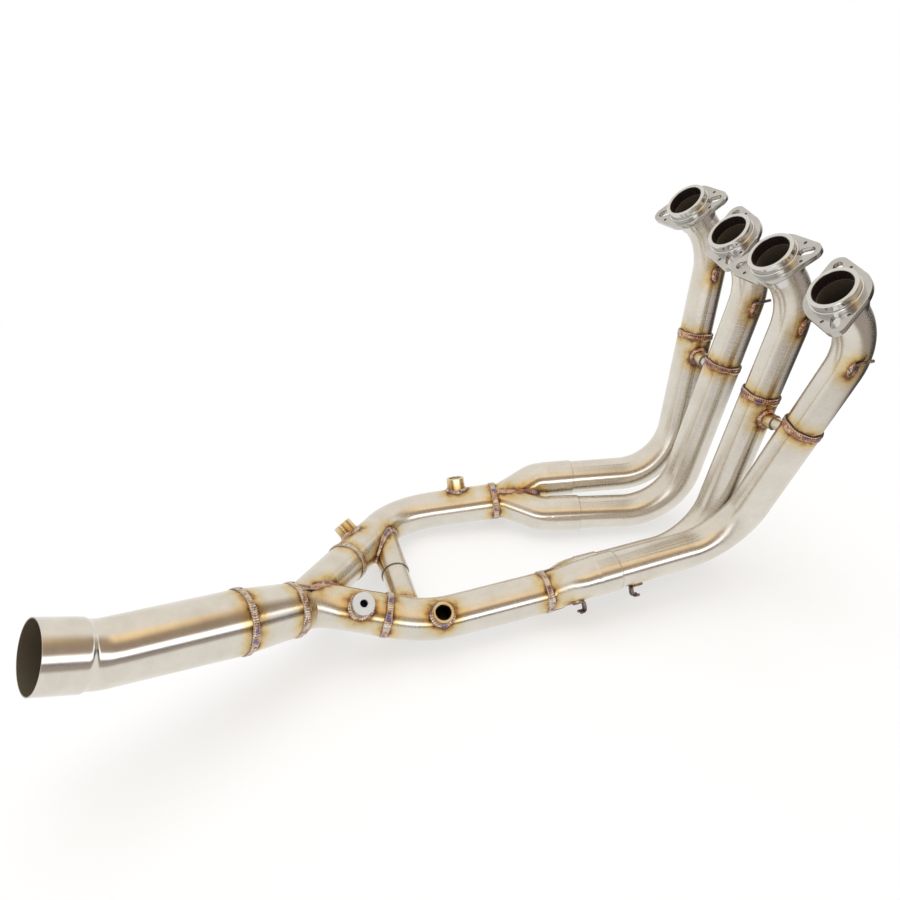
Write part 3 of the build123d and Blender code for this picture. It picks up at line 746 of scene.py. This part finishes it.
# The drive socket's rows take painted shade.
socket_shade = (np.arange(len(plug_profile)) < plug_socket_rows).astype(float)[:, None]
piece("plug", [(turned(plug_profile, bung_seats[3] + bung_ups[3] * bung_heights[3], bung_ups[3]), False, True,
                {"inside": socket_shade})], [plug_alloy], "bung_plug")

# Crossover: a wide sleeve off the left secondary slips over a thinner tube off the right one.
# Both are plain drawn tube, each welded round its foot.
cross_sleeve_r, cross_tube_r, cross_sleeve_length, cross_lap = 16.3, 14.75, 83.4, 20.0
cross_places, cross_weld_a, cross_weld_b = np.array((48.1, 18.1)), 3.5, 2.8
cross_feet = elbows + leg_axes * cross_places[:, None]
cross_way = slip_link(("cross_sleeve", "crossover_sleeve"), ("cross_tube", "crossover_tube"), cross_feet, leg_axes,
                      second_r, cross_sleeve_r, cross_tube_r, cross_sleeve_length, cross_lap)
saddle_bead("cross_bead_a", "crossover_weld_a", silver_weld, cross_feet[0], cross_way, cross_sleeve_r, leg_axes[0],
            second_r, cross_weld_a, "left_pipe", "cross_sleeve")
saddle_bead("cross_bead_b", "crossover_weld_b", silver_weld, cross_feet[1], -cross_way, cross_tube_r, leg_axes[1],
            second_r, cross_weld_b, "right_pipe", "cross_tube")

# Y collector: the right leg bends through to the outlet, and the left leg is cut to it and drawn in to the same ring.
# A hand weld runs along the cut, and rings close all three ends.
y_outlet_r, y_bend, y_step, y_trim_slope, unshaded_rows = 27.2, 60.0, 1.0, 2.1, 30
y_collar, y_flare, y_collar_edge, y_flare_sink = 6.0, 10.0, 0.8, 0.4
y_search, y_leg_gap, y_rim_sink, y_rim_back = 90.0, 0.2, 0.3, 1.0
y_seam_half_width, y_seam_flare, y_flare_reach, y_seam_step = 4.2, 3.2, 7.0, 0.4
right_line = bent_line((ring_points[1], y_turn, y_outlet), (y_bend,), y_step)


def left_leg_surface(radius, rim_r, columns=144, rows=80, shoulder_rows=14):
    """The left leg: lines along its cylinder until they meet the right leg or a cone that opens from the outlet.

    The cone's radius is the outlet's plus a slope times the distance upstream, and a line that meets it goes on
    down it to the rim. Also tells which lines met the right leg.
    """
    start = ring_points[0] + radius * spokes(leg_axes[0], full_turn(columns), upright)
    reach = np.linspace(0, y_search, search_steps)
    samples = start[:, None] + reach[:, None] * leg_axes[0]
    gap = samples - y_outlet
    off = np.linalg.norm(off_axis(gap, tail_axis), axis=-1)
    to_cone = first_below(rim_r - y_trim_slope * (gap @ tail_axis) - off, reach)
    to_leg = first_below(line_gap(samples, right_line[0]) - radius + y_leg_gap, reach)
    cut = to_leg < to_cone
    barrel = start + (np.linspace(0, 1, rows)[:, None] * np.minimum(to_cone, to_leg))[..., None] * leg_axes[0]
    last = barrel[-1]
    spoke = unit(off_axis(last - y_outlet, tail_axis))
    rim = np.where(cut[:, None], last, y_outlet + spoke * (rim_r - y_rim_sink) - tail_axis * y_rim_back)
    shoulder = np.linspace(0, 1, shoulder_rows)[1:, None, None]
    return np.concatenate((barrel, last + (rim - last) * shoulder)), cut


left_outer, left_cut = left_leg_surface(second_r, y_outlet_r)
left_inner, _ = left_leg_surface(second_r - wall, y_outlet_r - wall)
# Painted shade darkens the left leg's bore past its first rows.
left_bore_shade = (np.arange(2 * len(left_outer)) >= len(left_outer) + unshaded_rows).astype(float)[:, None]
y_collar_profile = np.array((
    (second_r - y_flare_sink, -y_collar - y_flare), (y_outlet_r - y_collar_edge, -y_collar),
    (y_outlet_r, -y_collar + y_collar_edge), (y_outlet_r, 0.0), (y_outlet_r - wall, 0.0),
    (y_outlet_r - wall, -y_collar + wall), (second_r - y_flare_sink, -y_collar - y_flare + wall)))
piece("y_merge", [
    tube_wall(right_line, second_r, wall, upright),
    (np.concatenate((left_outer, left_inner[::-1])), True, True, {"inside": left_bore_shade, "grain": leg_axes[0]}),
    (turned(y_collar_profile, y_outlet, tail_axis), True, True, {"grain": tail_axis})],
    [satin], "y_collector")
cut_lines = np.flatnonzero(left_cut)
gap_at = np.argmax(np.diff(cut_lines, append=cut_lines[0] + len(left_cut)))
cut_lines = np.roll(cut_lines, -gap_at - 1)
y_seam = left_outer[-1][[cut_lines[0] - 1, *cut_lines, (cut_lines[-1] + 1) % len(left_cut)]]
walk = walked(y_seam)
fine = np.linspace(0, walk[-1], int(walk[-1] / y_seam_step))
y_seam = resample(y_seam, walk, fine)
nearest = np.argmin(np.linalg.norm(y_seam[:, None] - right_line[0], axis=2), axis=1)
outward = unit(off_axis(y_seam - ring_points[0], leg_axes[0])) + unit(y_seam - right_line[0][nearest])
y_seam_width = y_seam_half_width + y_seam_flare * np.exp(-np.minimum(fine, walk[-1] - fine) / y_flare_reach)
seam_bead("y_seam_bead", "y_seam", y_seam, outward, y_seam_width, seam_half_height, "y_merge")
for index, side in enumerate(("left", "right")):
    ring_bead(side + "_pipe_bead", side + "_secondary_weld", silver_weld, ring_points[index], leg_axes[index],
              second_r, side + "_pipe", "y_merge")
for number, (seat, up, pipe, host) in enumerate(zip(bung_seats, bung_ups, bung_pipes, bung_hosts), 1):
    saddle_bead(f"bung_bead_{number}", f"bung_weld_{number}", silver_weld, seat, up, bung_r, pipe, second_r,
                bung_weld, host, f"bung_{number}")

# Outlet cone and tail pipe: a rolled cone widens to the tail, which narrows to a kink and swages out to the socket.
# The open socket slips over the silencer's inlet. Both pieces have a finer finish than the other tubes.
tail_r, neck_r, neck_before, cone_length, kink_bend, tail_step = 31.8, 30.0, 10.0, 58.2, 60.0, 1.5
swage_start, swage_length = 10.0, 5.5
tail_end = np.array((-711.5, -156.5, 160.0)) + row_to_centre
cone_end = y_outlet + tail_axis * cone_length
fine_satin = satin_steel("fine_satin_steel", 0.13, 0.20, 0.2)
cone_line = bent_line((y_outlet, cone_end), ())
cone_radius = y_outlet_r + (tail_r - y_outlet_r) * cone_line[2] / cone_length
piece("cone", [tube_wall(cone_line, cone_radius, wall, upright, 96)], [fine_satin], "outlet_cone")
tail_line = bent_line((cone_end, tail_kink, tail_end), (kink_bend,), tail_step)
neck_at = np.linalg.norm(tail_kink - cone_end) - neck_before
swage_at = tail_line[2][-1] - np.linalg.norm(tail_end - tail_kink) + swage_start
tail_radius = (tail_r + (neck_r - tail_r) * np.clip(tail_line[2] / neck_at, 0, 1)
               + (tail_r - neck_r) * smooth_step((tail_line[2] - swage_at) / swage_length))
piece("tail", [tube_wall(tail_line, tail_radius, wall, upright, 108)], [fine_satin], "tail_pipe")
ring_bead("y_outlet_bead", "y_outlet_weld", silver_weld, y_outlet, tail_axis, y_outlet_r, "y_merge", "cone")
ring_bead("cone_bead", "cone_weld", silver_weld, cone_end, tail_axis, tail_r, "cone", "tail")

# Spring hooks: short lengths of bent stainless wire, each held by one blob of weld laid along its foot.
# Those near the ports hook the header to the engine, and those at the outer slip joints hold the tubes in.
hook_wire_r, hook_foot, hook_bend, hook_reach, hook_tip, port_hook_reach = 1.6, 14.0, 3.0, 11.0, 8.0, 15.0
hook_pair_gap, hook_pair_spread, wire_step, wire_zero = 4.6, 1.5, 0.4, (0.23, 0.87, 0.44)
pad_length, pad_width, pad_height, pad_ripple, pad_sink, pad_root = 17.0, 9.0, 2.6, 0.5, 0.3, 0.6
port_hook_side = unit(np.array((0.8, -0.45, 0.35)))
port_hook_drops, port_hook_turns = (33.0, 34.0, 22.0, 23.0), np.radians((11.0, 8.0, 2.0, 27.0))
slip_hook_sides, slip_hook_gap = ((0, (0.07, 0.5, -0.86)), (3, (0.07, -0.5, -0.86))), 17.0


def wire(points):
    """A round wire along runs and small arcs, its ends rounded off like half a ball."""
    places, ways, distance = bent_line(points, (hook_bend,) * (len(points) - 2), wire_step)
    from_end = np.minimum(np.minimum(distance, distance[-1] - distance) / hook_wire_r, 1)
    radius = hook_wire_r * np.sqrt(np.clip(1 - (1 - from_end) ** 2, 0, 1))
    return rings(places, ways, radius, full_turn(14), wire_zero), False, True, {}


def weld_pad(base, axis, outward, radius, host, rows=24, under_rows=6):
    """A blob of weld that scorches its tube: an oval dome with ripples across it, wrapped round and closed below."""
    share = np.concatenate((np.linspace(0, 1, rows), np.linspace(1, 0, under_rows)))[:, None]
    angle = full_turn(48)
    lengthwise = pad_length / 2 * share * np.cos(angle)
    around = pad_width / 2 * share * np.sin(angle) / radius
    swell = np.abs(np.sin(np.pi * (lengthwise / ripple_pitch + around * 2)))
    dome = (pad_height + pad_ripple * swell) * np.sqrt(np.clip(1 - share ** 2, 0, 1)) - pad_sink
    height = np.where(np.arange(len(share))[:, None] < rows, dome, -pad_root)
    spoke = np.cos(around)[..., None] * outward + np.sin(around)[..., None] * np.cross(axis, outward)
    points = base + (hook_foot / 2 + lengthwise)[..., None] * axis + (radius + height)[..., None] * spoke
    scorch(base + outward * radius + axis * np.linspace(0, hook_foot, 40)[:, None], host)
    return points, False, True, {"ripple": swell}


# The wire is dark stainless, blued and browned by the weld in patches.
hook_steel = plain_metal("hook_wire", 160.0, 2.0, (
    (0.35, (0.06, 0.055, 0.07)), (0.5, (0.15, 0.12, 0.10)), (0.65, (0.28, 0.23, 0.18))), (0.22, 0.40))
for number, (upper, down, drop, turn) in enumerate(zip(uppers, downs, port_hook_drops, port_hook_turns), 1):
    base = upper + down * (drop - hook_foot / 2)
    outward = spokes(down, (turn,), ear_zero)[0]
    seat = base + outward * (upper_r + hook_wire_r)
    bent = wire((seat + down * hook_foot, seat, seat + port_hook_side * port_hook_reach))
    piece(f"port_hook_wire_{number}", [bent, weld_pad(base, down, outward, upper_r, f"upper_tube_{number}")],
          [hook_steel, copper_weld], f"port_hook_{number}")
for index, lean_out in slip_hook_sides:
    number, run, end = index + 1, runs[index], ends[index]
    outward = square_axes(run, lean_out)[0]
    mouth = end - run * socket_depths[index // 2]
    sheets, pads = [], []
    for base, axis, radius, host in (
            (mouth - run * slip_hook_gap, -run, lower_r, f"lower_tube_{number}"),
            (end + run * slip_hook_gap, run, leg_r, ("left_merge", "right_merge")[index // 2])):
        seat = base + outward * (radius + hook_wire_r)
        tip = seat + outward * hook_reach
        for aside in np.cross(axis, outward) * np.array(((-hook_pair_gap,), (hook_pair_gap,))) / 2:
            sheets.append(wire((seat + axis * hook_foot + aside, seat + aside, tip + aside,
                                tip + axis * hook_tip + aside * hook_pair_spread)))
        pads.append(weld_pad(base, axis, outward, radius, host))
    piece(f"slip_hook_wires_{number}", sheets + pads, [hook_steel] * len(sheets) + [copper_weld],
          f"slip_hooks_{number}")

# Floor, light and camera: a white sweep in a studio that is open to a darker room on one side.
# A bright window strip and a warm ceiling fill that side, and pale walls the rest.
camera_place, camera_pitch, camera_aim = (-0.18722, -0.68091, 0.66249), 33.56, (0.2362, 0.7991)
studio_front, studio_right = (-0.2651, -0.9642, 0.0), (0.9642, -0.2651, 0.0)
floor_size, table_reach, dark_reach, shadow_reach, white_reach = 40.0, 0.63, 0.76, 0.35, 1.1
floor_glow, floor_shine, sky_strength = 0.55, 0.97, 2.0
room_bearing, room_full, room_none = 45.0, 65.0, 100.0
corner_bearing, corner_top, corner_foot = 108.0, 0.35, 0.15
floor_mesh = bpy.data.meshes.new("floor")
floor_corners = np.array(((-1, -1, 0), (1, -1, 0), (1, 1, 0), (-1, 1, 0))) * floor_size
floor_mesh.from_pydata(floor_corners, [], [(0, 1, 2, 3)])
floor = add_object("floor", floor_mesh)


def near_bearing(node, way, bearing, full, none):
    """1 for directions within an angle of a compass bearing, falling to 0 at a wider angle; the front is at 0."""
    front, side = (node("VectorMath", {"operation": "DOT_PRODUCT"}, "Value", i0=way, i1=axis)
                   for axis in (studio_front, studio_right))
    off = maths(node, "SUBTRACT", maths(node, "ARCTAN2", side, front), np.radians(bearing))
    return rescale(node, maths(node, "ABSOLUTE", off), (1.0, 0.0), np.radians((full, none)), "SMOOTHSTEP")


white = bpy.data.materials.new("white_floor")
white.use_nodes = True
white.node_tree.nodes.clear()
node = node_adder(white.node_tree)
place = node("TexCoord", out="Object")
spread = node("VectorMath", {"operation": "LENGTH"}, "Value", i0=place)
past_table = rescale(node, spread, (0.0, 1.0), (table_reach, dark_reach), "SMOOTHSTEP")
dimmed = maths(node, "MULTIPLY", past_table, near_bearing(node, place, room_bearing, room_full, room_none))
room_dark = blend(node, near_bearing(node, place, corner_bearing, 16.0, 32.0), (0.42, 0.36, 0.32, 1),
                  (0.035, 0.03, 0.028, 1))
zones = blend(node, dimmed, (1.0, 0.99, 0.965, 1), room_dark)
glossy = node("LightPath", out="Is Glossy Ray")
rays = glossy.node.outputs
glow = node("Emission", Color=blend(node, glossy, (1, 1, 1, 1), zones), Strength=1.0)
matte = node("BsdfDiffuse", Color=(0.85, 0.875, 0.92, 1))
direct = maths(node, "MAXIMUM", rays["Is Camera Ray"], rays["Is Transmission Ray"])
clear = rescale(node, spread, (floor_glow, 1.0), (shadow_reach, white_reach), "SMOOTHSTEP")
flat_white = maths(node, "MULTIPLY", direct, clear)
glowing = node("Math", {"operation": "MULTIPLY_ADD"}, i0=glossy, i1=floor_shine, i2=flat_white)
node("OutputMaterial", Surface=node("MixShader", i0=glowing, i1=matte, i2=glow))
floor_mesh.materials.append(white)

lamp_data = bpy.data.lights.new("softbox", "AREA")
lamp_data.size, lamp_data.energy = 2.4, 32.0
lamp = add_object("softbox", lamp_data)
lamp.location = (0.1, 0.7, 2.6)
lamp.rotation_euler = (-0.26, 0.0, 0.0)
lamp.visible_glossy = False

world = bpy.data.worlds.new("studio")
bpy.context.scene.world = world
world.use_nodes = True
node = node_adder(world.node_tree)
way_out = node("TexCoord", out="Generated")
height = node("SeparateXYZ", out="Z", Vector=way_out)
room = ramp(node, height, (
    (0.0, (0.09, 0.08, 0.09)), (0.12, (0.11, 0.10, 0.11)), (0.15, (1.25, 1.25, 1.28)), (0.33, (1.25, 1.25, 1.25)),
    (0.38, (0.19, 0.15, 0.12)), (0.66, (0.21, 0.16, 0.11)), (0.76, (0.66, 0.50, 0.30)), (0.84, (0.62, 0.50, 0.34)),
    (0.92, (0.50, 0.46, 0.40)), (1.0, (0.53, 0.50, 0.46))))
walls = ramp(node, height, ((0.0, (0.48, 0.47, 0.45)), (0.85, (0.50, 0.48, 0.45)), (1.0, (0.53, 0.50, 0.46))))
low = rescale(node, height, (0.0, 1.0), (corner_top, corner_foot))
shade = maths(node, "MULTIPLY", near_bearing(node, way_out, corner_bearing, 18.0, 36.0), low)
shaded = blend(node, shade, room, (0.05, 0.04, 0.035, 1))
panels = blend(node, near_bearing(node, way_out, room_bearing, room_full, room_none), walls, shaded)
backdrop = blend(node, node("LightPath", out="Is Camera Ray"), panels, (0.5, 0.5, 0.5, 1))
background = world.node_tree.nodes["Background"].inputs
connect(world.node_tree, backdrop, background["Color"])
connect(world.node_tree, sky_strength, background["Strength"])

camera_data = bpy.data.cameras.new("camera")
camera_data.lens, camera_data.sensor_width = 33.0, 36.0
camera = add_object("camera", camera_data)
camera.location = camera_place
camera.rotation_euler = (np.radians(90 - camera_pitch), 0.0, -np.arctan2(*camera_aim))
bpy.context.scene.camera = camera
bpy.context.scene.view_settings.view_transform = "Standard"
